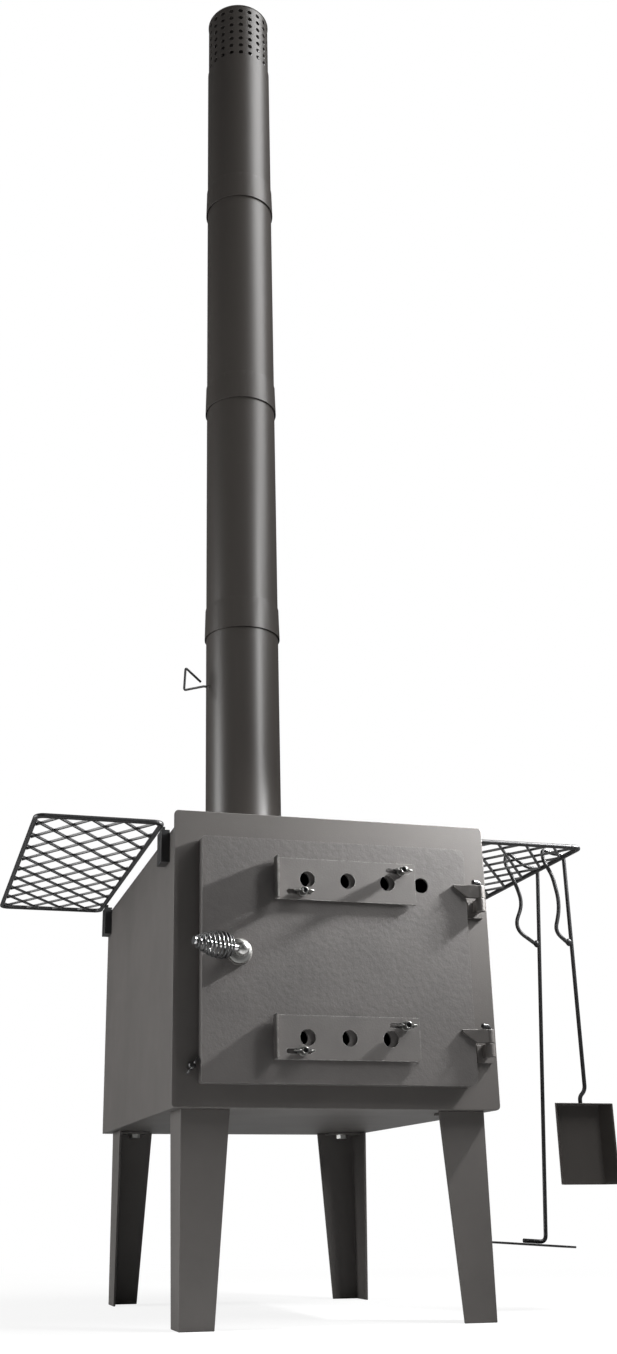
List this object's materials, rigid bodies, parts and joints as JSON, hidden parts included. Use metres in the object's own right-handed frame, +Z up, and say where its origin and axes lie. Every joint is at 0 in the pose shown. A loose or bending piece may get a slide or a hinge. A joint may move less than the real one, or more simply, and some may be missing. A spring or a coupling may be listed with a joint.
{
  "type": "wood stove",
  "caption": "Outdoor wood stove: steel firebox on tapered legs, hinged door with sliding vents and coil-grip latch, tall flue with damper, lift-off wire shelves, hanging ash rake and shovel.",
  "frame": {"origin": "on the ground, under the middle of the whole outline, tools and handle included", "axes": "+X to the right seen from the front, +Y from the door to the back, +Z up"},
  "size_m": [0.728, 0.6144, 2.235],
  "materials": {
    "stove_paint": "matte high-heat paint on folded steel sheet",
    "door_paint": "matte high-heat paint on fine-grained cast plate",
    "flue_paint": "satin high-heat paint on rolled sheet",
    "black_wire": "satin black coating",
    "grate_iron": "raw casting, sooty",
    "zinc": "bright zinc plating",
    "chrome": "polished plating"
  },
  "bodies": {
    "stove": {"front_plate": "stove_paint", "side_panel_left": "stove_paint", "side_panel_right": "stove_paint", "back_panel": "stove_paint", "floor_panel": "stove_paint", "cooktop": "stove_paint", "flue_collar": "stove_paint", "collar_screws": "zinc", "grate_rests": "stove_paint", "fire_grate": "grate_iron", "leg_front_left": "stove_paint", "leg_front_right": "stove_paint", "leg_rear_left": "stove_paint", "leg_rear_right": "stove_paint", "leg_bolts": "zinc", "leg_nuts": "zinc", "pipe_section_1": "flue_paint", "pipe_section_2": "flue_paint", "pipe_section_3": "flue_paint", "pipe_section_4": "flue_paint", "spark_arrestor": "flue_paint", "arrestor_cap": "flue_paint", "frame_knuckles": "stove_paint", "hinge_pins": "black_wire", "catch_screw": "zinc", "shelf_brackets_left": "black_wire", "shelf_brackets_right": "black_wire"},
    "damper": {"damper_plate": "flue_paint", "damper_shaft": "zinc", "damper_handle": "black_wire", "damper_nut": "zinc"},
    "door": {"door_panel": "door_paint", "door_rim": "door_paint", "door_knuckles": "stove_paint", "vent_bolts": "black_wire", "vent_spacers": "zinc", "vent_washers": "zinc", "wing_nuts": "zinc", "latch_boss": "stove_paint", "latch_washer": "chrome"},
    "latch": {"latch_shaft": "chrome", "latch_tongue": "stove_paint", "handle_hub": "chrome", "handle_rod": "chrome", "spring_grip": "chrome", "grip_tip": "chrome"},
    "vent_slide_top": {"vent_slide_top": "stove_paint"},
    "vent_slide_bottom": {"vent_slide_bottom": "stove_paint"},
    "shelf_left": {"shelf_frame_left": "black_wire", "shelf_mesh_left": "black_wire", "shelf_legs_left": "black_wire"},
    "shelf_right": {"shelf_frame_right": "black_wire", "shelf_mesh_right": "black_wire", "shelf_legs_right": "black_wire"},
    "rake": {"rake_rod": "black_wire", "rake_blade": "black_wire"},
    "shovel": {"shovel_rod": "black_wire", "shovel_pan": "black_wire"}
  },
  "joints": [
    {"name": "door_hinge", "type": "hinge", "parent": "stove", "child": "door", "pos_m": [0.1565, -0.26477, 0.37475], "axis": [0, 0, 1], "range_deg": [0, 110]},
    {"name": "latch_turn", "type": "hinge", "parent": "door", "child": "latch", "pos_m": [-0.137, -0.26877, 0.385], "axis": [0, 1, 0], "range_deg": [0, 90]},
    {"name": "vent_top_slide", "type": "slide", "parent": "door", "child": "vent_slide_top", "axis": [1, 0, 0], "range_m": [-0.008, 0.016]},
    {"name": "vent_bottom_slide", "type": "slide", "parent": "door", "child": "vent_slide_bottom", "axis": [1, 0, 0], "range_m": [-0.008, 0.016]},
    {"name": "damper_turn", "type": "hinge", "parent": "stove", "child": "damper", "pos_m": [-0.017, 0.18723, 0.873], "axis": [0.9781, 0.2079, 0], "range_deg": [0, 90]},
    {"name": "shelf_left_lift", "type": "slide", "parent": "stove", "child": "shelf_left", "axis": [0, 0, 1], "range_m": [0, 0.06]},
    {"name": "shelf_right_lift", "type": "slide", "parent": "stove", "child": "shelf_right", "axis": [0, 0, 1], "range_m": [0, 0.06]},
    {"name": "rake_swing", "type": "hinge", "parent": "shelf_right", "child": "rake", "pos_m": [0.327, -0.06677, 0.545], "axis": [0, 1, 0], "range_deg": [-8, 6]},
    {"name": "shovel_swing", "type": "hinge", "parent": "shelf_right", "child": "shovel", "pos_m": [0.327, -0.14477, 0.545], "axis": [0, 1, 0], "range_deg": [-8, 8]}
  ]
}
